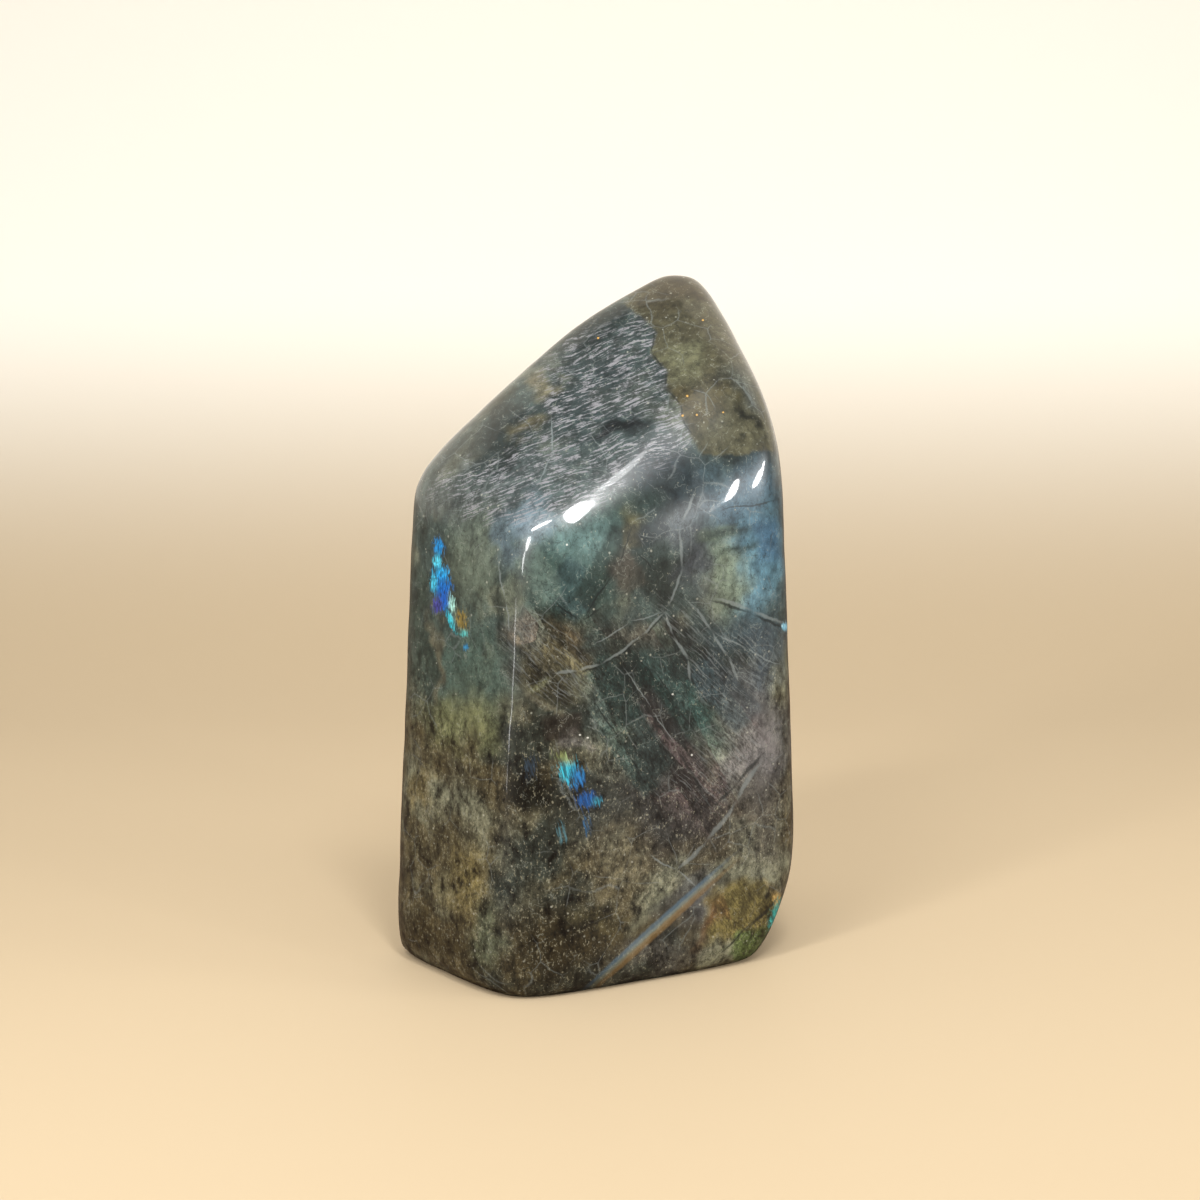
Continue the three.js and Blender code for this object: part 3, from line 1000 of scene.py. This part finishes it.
    def flecks(self):
        """Beige flecks and dark pits, thickest low in the stone."""
        nodes = self.nodes
        grain = nodes.noise(nodes.mapped(self.place, FLECK_SIZE), 1.0, 2.0, 0.75)["Fac"]
        common = nodes.remap(self.granular, 0.0, 1.0, 0.70, 0.61)
        level = nodes.math("MULTIPLY_ADD", nodes.math("SUBTRACT", 0.5, self.mottle), 0.25, common)
        self.mark(nodes.remap(nodes.math("SUBTRACT", grain, level), 0.0, 0.05), "fleck")
        pits = nodes.remap(self.granular, 0.0, 1.0, 0.2, 0.65)
        self.mark(nodes.times(nodes.remap(grain, 0.44, 0.30), pits), "pit")

    def specks(self):
        """Bright specks and dark ones all over."""
        nodes = self.nodes
        group = speck_group()
        cells = nodes.cells(self.bent_place(0.5), SPECK_CELL)
        chance = nodes.parts(cells["Color"])
        dark = nodes.group(group, Distance=cells["Distance"], Chance=chance["Y"], Rarity=0.5, Reach=0.22)
        pale = nodes.group(group, Distance=cells["Distance"], Chance=chance["X"], Rarity=0.4, Reach=0.20)
        self.mark(dark["Mask"], "dark speck")
        self.mark(pale["Mask"], "pale speck")

    def painted_marks(self):
        """The long lines, the rainbow, and the gold specks and painted glints, where the camera sees them.
        """
        line = line_group()
        loose = StonePaint(self.nodes, line, self.bent_spot(0.8, 1.8))
        front = loose.lines(self.color, DARK_LINES, "dark line")
        front = loose.lines(front, CRACKS, "healed crack")
        crisp = StonePaint(self.nodes, line, self.bent_spot(0.5))
        front = crisp.rainbow(front)
        front = crisp.specks(front, GOLD_SPECKS, "gold speck with painted glint")
        front = crisp.specks(front, PAINTED_GLINTS, "painted white glint")
        self.color = self.nodes.mix(self.facing, self.color, front)

    def flashes(self):
        """Lays the flashes over the stone, striped by the fine layers that they shine from, and returns
        their colour as a painted glow, which the material gives off as emission though the stone is no
        lamp."""
        nodes = self.nodes
        flashes = nodes.stored("flashes")
        across = nodes.mapped(self.bent_place(0.7), LAYER_SIZE, LAYER_TURN)
        layers = nodes.parts(nodes.noise(across, 1.0, 1.5, 0.6)["Color"])
        raised = nodes.math("MULTIPLY_ADD", nodes.math("SUBTRACT", layers["X"], 0.5), 2.2, flashes["Alpha"])
        inside = nodes.times(flashes["Alpha"], 4.0)
        shown = nodes.math("MINIMUM", nodes.remap(raised, 0.16, 0.80), inside)
        stripe = nodes.grey(nodes.remap(layers["Y"], 0.36, 0.66, 0.3, 1.1, smooth=False))
        flash = nodes.mix(1.0, flashes["Color"], stripe, blend="MULTIPLY")
        self.color = nodes.mix(shown, self.color, flash)
        # Their painted glow, which the material gives off as emission.
        return nodes.mix(shown, BLACK, flash)


def labradorite_material():
    """Dark labradorite with clouds, cracks and flashes, under a clear polish."""
    material = bpy.data.materials.new("polished labradorite")
    material.use_nodes = True
    nodes = Nodes(material.node_tree)
    shader = material.node_tree.nodes["Principled BSDF"]
    look = StoneLook(nodes)
    look.plates_and_mottling()
    look.grooves()
    look.streaks()
    look.healed_net()
    look.short_cracks()
    look.flecks()
    look.specks()
    look.painted_marks()
    glow = look.flashes()
    nodes.feed(shader.inputs["Base Color"], look.color)
    # The flashes glow with painted light: their colour is given off as emission, though the stone is no
    # lamp.
    nodes.feed(shader.inputs["Emission Color"], glow)
    shader.inputs["Emission Strength"].default_value = 0.3
    shader.inputs["Roughness"].default_value = 0.32
    shader.inputs["IOR"].default_value = 1.56
    shader.inputs["Coat Weight"].default_value = 0.8
    shader.inputs["Coat Roughness"].default_value = 0.05
    return material


def backdrop_material():
    """A pale sweep. The polish of the stone mirrors its floor darker, so that the stone keeps its depth."""
    material = bpy.data.materials.new("pale sweep")
    material.use_nodes = True
    nodes = Nodes(material.node_tree)
    shader = material.node_tree.nodes["Principled BSDF"]
    path = nodes.add("ShaderNodeLightPath").outputs
    height = nodes.parts(nodes.add("ShaderNodeTexCoord").outputs["Object"])["Z"]
    floor = nodes.remap(height, FLOOR_FADE, 0.0)
    plain = nodes.mix(floor, tone(WALL_TONE), tone(FLOOR_TONE))
    mirrored = nodes.mix(nodes.times(path["Is Glossy Ray"], floor), plain, tone(MIRRORED_FLOOR_TONE))
    nodes.feed(shader.inputs["Base Color"], mirrored)
    shader.inputs["Roughness"].default_value = 0.6
    shader.inputs["Specular IOR Level"].default_value = 0.2
    return material


def select_edges(piece, wanted):
    """Selects the piece's edges whose two ends both pass, and leaves it in edit mode."""
    bpy.ops.object.mode_set(mode="EDIT")
    bpy.ops.mesh.select_mode(type="EDGE")
    bpy.ops.mesh.select_all(action="DESELECT")
    bpy.ops.object.mode_set(mode="OBJECT")
    for edge in piece.data.edges:
        edge.select = all(wanted(piece.data.vertices[index].co) for index in edge.vertices)
    bpy.ops.object.mode_set(mode="EDIT")


def make_backdrop():
    """A sheet that lies under the stone and sweeps up behind it."""
    bpy.ops.object.select_all(action="DESELECT")
    bpy.ops.mesh.primitive_plane_add(size=1)
    sweep = bpy.context.object
    sweep.name = "backdrop"
    sweep.scale = (SWEEP_WIDTH, SWEEP_FRONT + SWEEP_BACK, 1)
    sweep.location = (0, (SWEEP_BACK - SWEEP_FRONT) / 2, 0)
    bpy.ops.object.transform_apply(location=True, rotation=True, scale=True)
    select_edges(sweep, lambda end: end.y > 0)
    bpy.ops.mesh.extrude_region_move(TRANSFORM_OT_translate={"value": (0, 0, SWEEP_HEIGHT)})
    select_edges(sweep, lambda end: end.y > 0 and abs(end.z) < MM)
    bpy.ops.mesh.bevel(offset=SWEEP_BEND, segments=32, affect="EDGES")
    bpy.ops.object.mode_set(mode="OBJECT")
    bpy.ops.object.shade_smooth()
    sweep.rotation_euler = (0, 0, math.radians(CAMERA_AZIMUTH))
    bpy.ops.object.transform_apply(location=True, rotation=True, scale=True)
    sweep.data.materials.append(backdrop_material())


def aim(name, data, place, back):
    """Puts a camera or a lamp at a place, looking away from the direction of its back."""
    aimed = bpy.data.objects.new(name, data)
    bpy.context.scene.collection.objects.link(aimed)
    aimed.location = place
    aimed.rotation_euler = (-back).to_track_quat("-Z", "Y").to_euler()
    return aimed


def make_camera():
    data = bpy.data.cameras.new("camera")
    data.lens = CAMERA_LENS
    data.sensor_width = SENSOR_WIDTH
    data.clip_start = 0.01
    data.clip_end = 50
    back = outward(CAMERA_AZIMUTH, CAMERA_RISE)
    bpy.context.scene.camera = aim("camera", data, CAMERA_AIM + back * CAMERA_DISTANCE, back)


def make_light(name, target, azimuth, elevation, distance, size, radiance, roll):
    """An oval soft box that shines at a target."""
    data = bpy.data.lights.new(name, "AREA")
    data.shape = "ELLIPSE"
    data.size, data.size_y = size
    area = size[0] * size[1] * math.pi / 4
    data.energy = radiance * math.pi * area
    back = outward(azimuth, elevation)
    light = aim(name, data, Vector(target) * MM + back * distance, back)
    light.rotation_euler.rotate_axis("Z", math.radians(roll))
    return light


def make_lights():
    """Each box is set where the polish mirrors it to the camera as one of the stone's highlights."""
    lights = {name: make_light(name, *values) for name, values in LIGHTS.items()}
    lights["overhead box"].visible_glossy = False
    lights["front glow"].visible_diffuse = False
    lights["front glow"].data.color = GLOW_COLOR


def make_world():
    """The camera sees a pale backdrop, the stone is lit by it, and its polish mirrors a dimmer room."""
    world = bpy.data.worlds.new("studio")
    bpy.context.scene.world = world
    world.use_nodes = True
    nodes = Nodes(world.node_tree)
    background = world.node_tree.nodes["Background"]
    path = nodes.add("ShaderNodeLightPath").outputs
    way = nodes.parts(nodes.add("ShaderNodeTexCoord").outputs["Generated"])
    behind = nodes.remap(way["Y"], 0.2, 0.9)
    room = nodes.math("MULTIPLY_ADD", behind, ROOM_BACK_LIGHT, ROOM_LIGHT)
    strength = nodes.times(path["Is Camera Ray"], WORLD_SEEN)
    strength = nodes.math("MULTIPLY_ADD", path["Is Diffuse Ray"], WORLD_LIGHT, strength)
    strength = nodes.math("MULTIPLY_ADD", path["Is Glossy Ray"], room, strength)
    background.inputs["Color"].default_value = tone(WORLD_TONE)
    nodes.feed(background.inputs["Strength"], strength)
    bpy.context.scene.view_settings.view_transform = "Standard"


make_camera()
make_backdrop()
make_world()
make_lights()
stone = make_stone()
stain(stone)
stone.data.materials.append(labradorite_material())
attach(stone, "root")
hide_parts("labradorite_stone")
